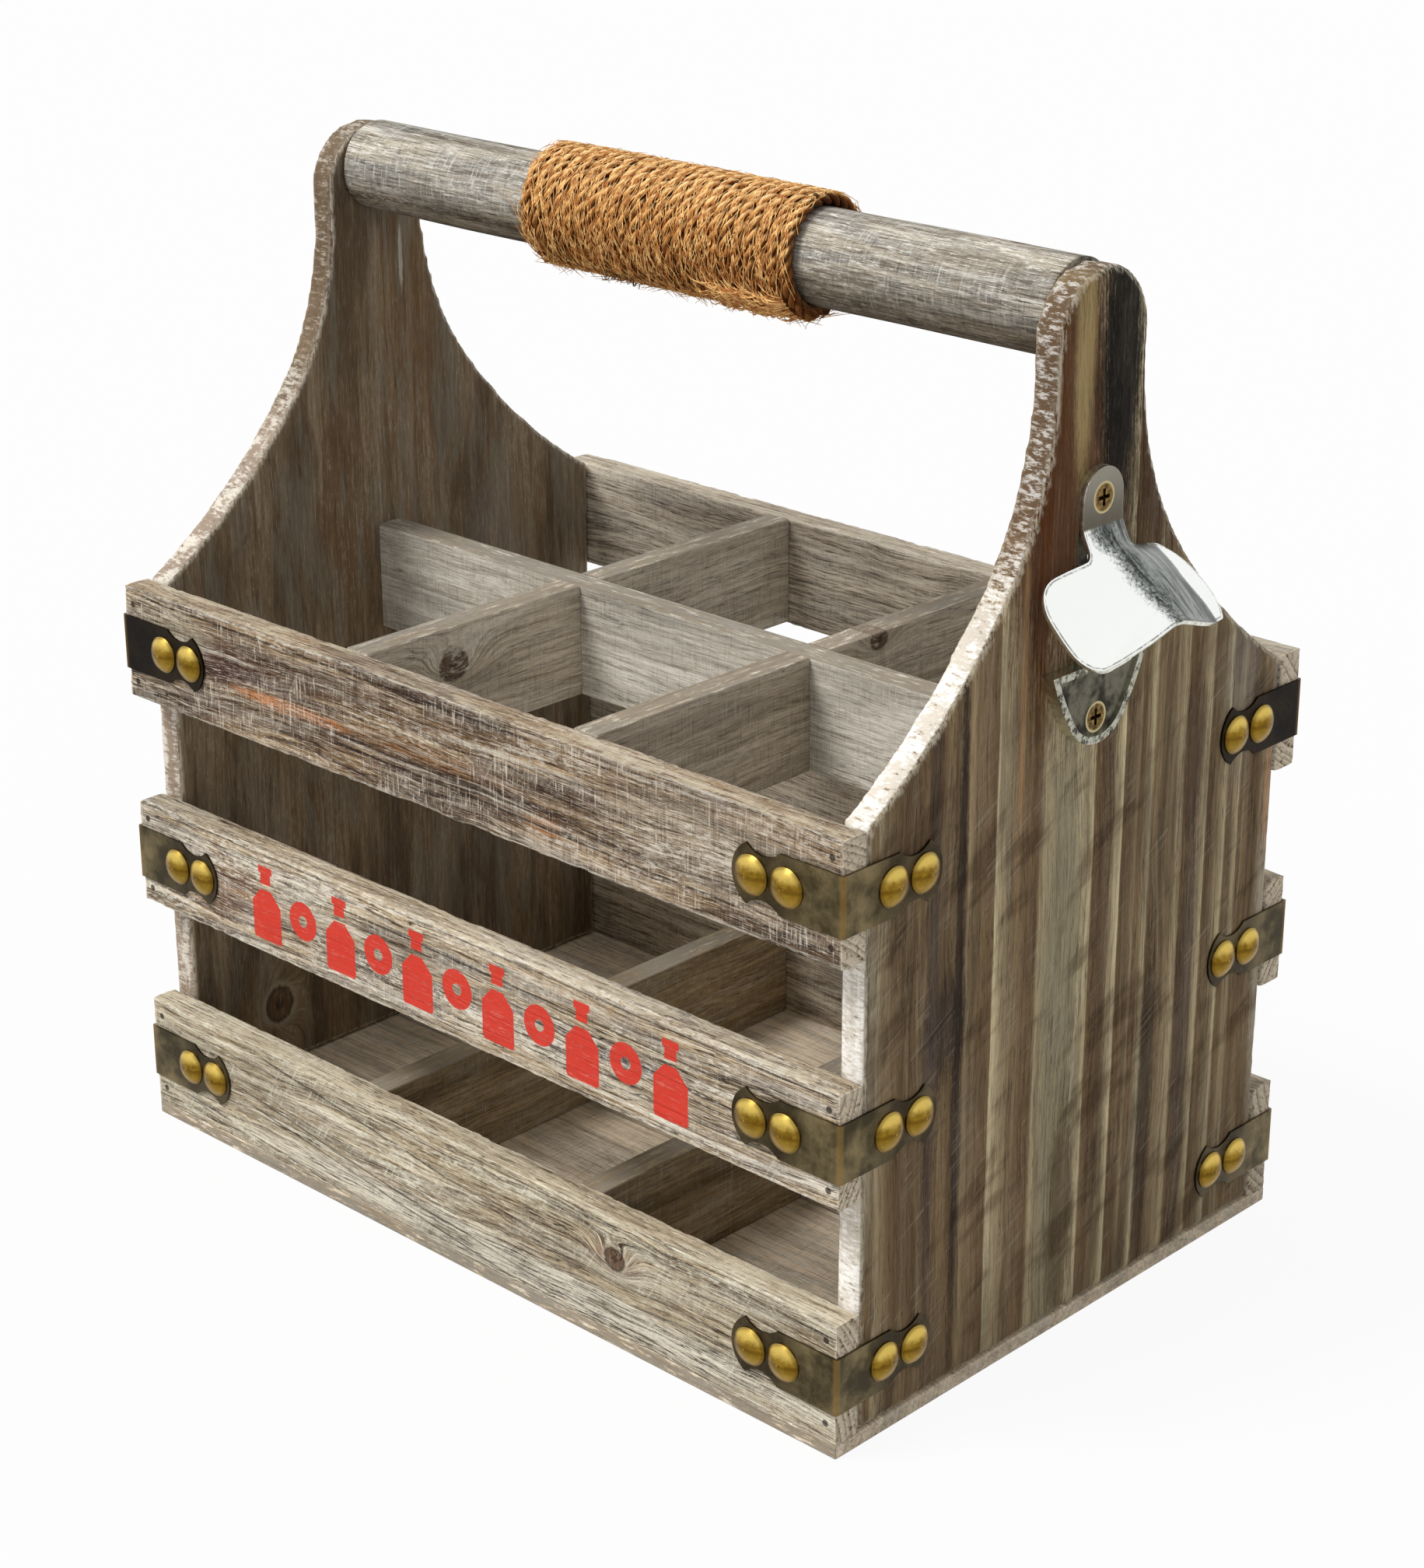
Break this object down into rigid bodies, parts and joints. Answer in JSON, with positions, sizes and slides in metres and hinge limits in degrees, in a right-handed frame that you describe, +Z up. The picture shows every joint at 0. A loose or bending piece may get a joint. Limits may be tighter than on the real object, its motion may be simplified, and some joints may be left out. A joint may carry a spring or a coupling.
{
  "type": "bottle caddy",
  "caption": "Wooden caddy with a grid of bottle cells, a rope-wrapped dowel handle between arched end panels, metal corner straps and a cap opener on one end.",
  "frame": {"origin": "middle of the base board's underside", "axes": "+X along the handle, towards the end panel that carries the opener; -Y is the front; +Z up"},
  "size_m": [0.2929, 0.1838, 0.2818],
  "materials": {
    "weathered_slat": "whitewashed, worn",
    "weathered_panel": "stained, sanded",
    "divider_wood": "sawn, grey",
    "weathered_dowel": "whitewashed",
    "jute_rope": "twisted fibre",
    "bronze_strap": "bronze brown",
    "antique_brass_tack": "antique",
    "zinc_steel": "zinc plated",
    "yellow_zinc_screw": "yellow zinc",
    "steel_brad": "dull"
  },
  "bodies": {
    "root": {"end_panel_left": "weathered_panel", "end_panel_right": "weathered_panel", "base_board": "weathered_slat", "handle_dowel": "weathered_dowel", "front_slat_bottom": "weathered_slat", "slat_brads_front_bottom": "steel_brad", "corner_strap_front_left_bottom": "bronze_strap", "strap_tacks_front_left_bottom": "antique_brass_tack", "corner_strap_front_right_bottom": "bronze_strap", "strap_tacks_front_right_bottom": "antique_brass_tack", "front_slat_middle": "weathered_slat", "slat_brads_front_middle": "steel_brad", "corner_strap_front_left_middle": "bronze_strap", "strap_tacks_front_left_middle": "antique_brass_tack", "corner_strap_front_right_middle": "bronze_strap", "strap_tacks_front_right_middle": "antique_brass_tack", "front_slat_top": "weathered_slat", "slat_brads_front_top": "steel_brad", "corner_strap_front_left_top": "bronze_strap", "strap_tacks_front_left_top": "antique_brass_tack", "corner_strap_front_right_top": "bronze_strap", "strap_tacks_front_right_top": "antique_brass_tack", "back_slat_bottom": "weathered_slat", "slat_brads_back_bottom": "steel_brad", "corner_strap_back_left_bottom": "bronze_strap", "strap_tacks_back_left_bottom": "antique_brass_tack", "corner_strap_back_right_bottom": "bronze_strap", "strap_tacks_back_right_bottom": "antique_brass_tack", "back_slat_middle": "weathered_slat", "slat_brads_back_middle": "steel_brad", "corner_strap_back_left_middle": "bronze_strap", "strap_tacks_back_left_middle": "antique_brass_tack", "corner_strap_back_right_middle": "bronze_strap", "strap_tacks_back_right_middle": "antique_brass_tack", "back_slat_top": "weathered_slat", "slat_brads_back_top": "steel_brad", "corner_strap_back_left_top": "bronze_strap", "strap_tacks_back_left_top": "antique_brass_tack", "corner_strap_back_right_top": "bronze_strap", "strap_tacks_back_right_top": "antique_brass_tack", "upper_divider_long": "divider_wood", "upper_divider_cross_left": "divider_wood", "upper_divider_cross_right": "divider_wood", "divider_brads_upper": "steel_brad", "lower_divider_long": "divider_wood", "lower_divider_cross_left": "divider_wood", "lower_divider_cross_right": "divider_wood", "divider_brads_lower": "steel_brad", "handle_brads_left": "steel_brad", "handle_brads_right": "steel_brad", "base_brads": "steel_brad", "rope_winding": "jute_rope", "opener_backplate": "zinc_steel", "opener_hood": "zinc_steel", "opener_screw_upper": "yellow_zinc_screw", "opener_screw_lower": "yellow_zinc_screw"}
  },
  "joints": []
}
